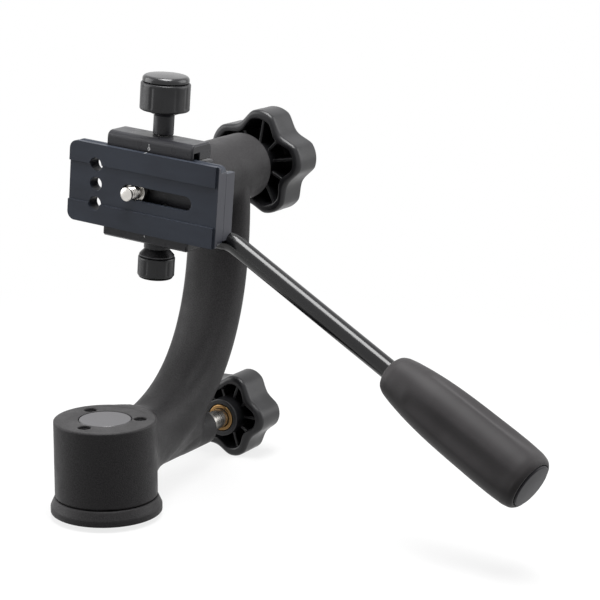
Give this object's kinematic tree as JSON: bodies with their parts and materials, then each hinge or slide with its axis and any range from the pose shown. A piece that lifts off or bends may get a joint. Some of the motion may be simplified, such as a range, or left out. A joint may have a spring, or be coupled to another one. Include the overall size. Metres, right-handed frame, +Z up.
{
  "type": "gimbal tripod head",
  "caption": "Side-mount gimbal tripod head: curved cast arm on a panning base, tilting dovetail clamp with a slotted lens plate, star lock knobs and a bent pan handle.",
  "frame": {"origin": "on the pan axis, at the underside of the base flange", "axes": "+Z up along the pan axis; +X along the tilt axis, from the clamp towards the large star knob; +Y the way the lens points, so the handle reaches to -Y"},
  "size_m": [0.1755, 0.2489, 0.1994],
  "materials": {
    "cast": "cast, fine-textured black powder coat",
    "machined": "machined, black anodised",
    "plate": "machined, blue-black anodised, satin",
    "steel": "turned, bright",
    "black_steel": "black oxide",
    "rod": "gloss black lacquer",
    "brass": "turned",
    "plastic": "moulded, satin black",
    "rubber": "moulded, dark grey",
    "nylon": "cut from sheet"
  },
  "bodies": {
    "base": {"base_flange": "cast", "tripod_bushing": "steel", "pan_spindle": "steel", "flange_screw_1": "black_steel", "flange_screw_2": "black_steel", "flange_screw_3": "black_steel", "spindle_nut": "steel"},
    "arm": {"arm_casting": "cast", "bearing_carrier": "machined", "pan_bearing_lower": "steel", "pan_bearing_upper": "steel", "top_disc": "machined", "carrier_screw_1": "black_steel", "carrier_screw_2": "black_steel", "carrier_screw_3": "black_steel", "tilt_bearing_front": "steel", "tilt_bearing_rear": "steel"},
    "pan_pad": {"pan_brake_pad": "brass"},
    "pan_knob": {"pan_lock_stud": "steel", "pan_knob_insert": "brass", "pan_lock_knob": "plastic", "pan_knob_cap": "plastic"},
    "head": {"clamp_body": "machined", "tilt_hub": "machined", "hub_screw_1": "black_steel", "hub_screw_2": "black_steel", "hub_screw_3": "black_steel", "hub_screw_4": "black_steel", "tilt_axle": "steel", "tilt_friction_washer": "nylon", "jaw_guide_pin_1": "steel", "jaw_guide_pin_2": "steel", "jaw_spring_1": "steel", "jaw_spring_2": "steel"},
    "tilt_washer": {"tilt_thrust_washer": "steel"},
    "tilt_knob": {"tilt_knob_insert": "brass", "tilt_lock_knob": "plastic", "tilt_knob_cap": "plastic"},
    "jaw": {"upper_jaw": "machined"},
    "jaw_knob": {"clamp_screw": "steel", "clamp_knob_stem": "machined", "clamp_knob_grip": "plastic", "clamp_knob_cap": "plastic"},
    "plate": {"lens_plate": "plate"},
    "screw_washer": {"camera_screw_washer": "steel"},
    "camera_screw": {"camera_screw": "steel"},
    "handle": {"handle_rod": "rod", "handle_grip": "rubber", "handle_end_cap": "rubber"},
    "handle_shoe": {"handle_lock_shoe": "brass"},
    "handle_lock": {"handle_lock_screw": "steel", "handle_lock_collar": "machined", "handle_lock_grip": "plastic", "handle_lock_cap": "plastic"}
  },
  "joints": [
    {"name": "pan", "type": "hinge", "parent": "base", "child": "arm", "pos_m": [0, 0, 0], "axis": [0, 0, 1], "continuous": true},
    {"name": "pan_lock_travel", "type": "slide", "parent": "arm", "child": "pan_pad", "axis": [1, 0, 0], "range_m": [0, 0.00125]},
    {"name": "pan_lock_turn", "type": "hinge", "parent": "pan_pad", "child": "pan_knob", "pos_m": [0.1, 0, 0.0185], "axis": [1, 0, 0], "range_deg": [0, 362]},
    {"name": "tilt", "type": "hinge", "parent": "arm", "child": "head", "pos_m": [0.0843, 0, 0.14282], "axis": [1, 0, 0], "range_deg": [-110, 40]},
    {"name": "tilt_lock_travel", "type": "slide", "parent": "head", "child": "tilt_washer", "axis": [1, 0, 0], "range_m": [0, 0.00125]},
    {"name": "tilt_lock_turn", "type": "hinge", "parent": "tilt_washer", "child": "tilt_knob", "pos_m": [0.13, 0, 0.14282], "axis": [1, 0, 0], "range_deg": [0, 362]},
    {"name": "jaw_travel", "type": "slide", "parent": "head", "child": "jaw", "axis": [0, -0.0767, 0.9971], "range_m": [0, 0.005]},
    {"name": "clamp_knob_turn", "type": "hinge", "parent": "jaw", "child": "jaw_knob", "pos_m": [0.0473, -0.0023, 0.17273], "axis": [0, -0.0767, 0.9971], "range_deg": [0, 1442]},
    {"name": "plate_slide", "type": "slide", "parent": "head", "child": "plate", "axis": [0, 0.9971, 0.0767], "range_m": [-0.02, 0.02]},
    {"name": "camera_screw_slide", "type": "slide", "parent": "plate", "child": "screw_washer", "axis": [0, 0.9971, 0.0767], "range_m": [-0.026, 0.0015]},
    {"name": "camera_screw_turn", "type": "hinge", "parent": "screw_washer", "child": "camera_screw", "pos_m": [0.034, 0.00624, 0.1426], "axis": [1, 0, 0], "continuous": true},
    {"name": "handle_swivel", "type": "hinge", "parent": "head", "child": "handle", "pos_m": [0.0473, 0.00139, 0.12477], "axis": [0, 0.9971, 0.0767], "range_deg": [-60, 60]},
    {"name": "handle_lock_travel", "type": "slide", "parent": "head", "child": "handle_shoe", "axis": [0, 0.0767, -0.9971], "range_m": [0, 0.00125]},
    {"name": "handle_lock_turn", "type": "hinge", "parent": "handle_shoe", "child": "handle_lock", "pos_m": [0.0473, 0.00268, 0.10792], "axis": [0, 0.0767, -0.9971], "range_deg": [0, 362]}
  ],
  "couplings": [
    {"joint": "pan_lock_turn", "follows": "pan_lock_travel", "rad_per_m": 5026.5},
    {"joint": "tilt_lock_turn", "follows": "tilt_lock_travel", "rad_per_m": 5026.5},
    {"joint": "clamp_knob_turn", "follows": "jaw_travel", "rad_per_m": 5026.5},
    {"joint": "handle_lock_turn", "follows": "handle_lock_travel", "rad_per_m": 5026.5}
  ]
}
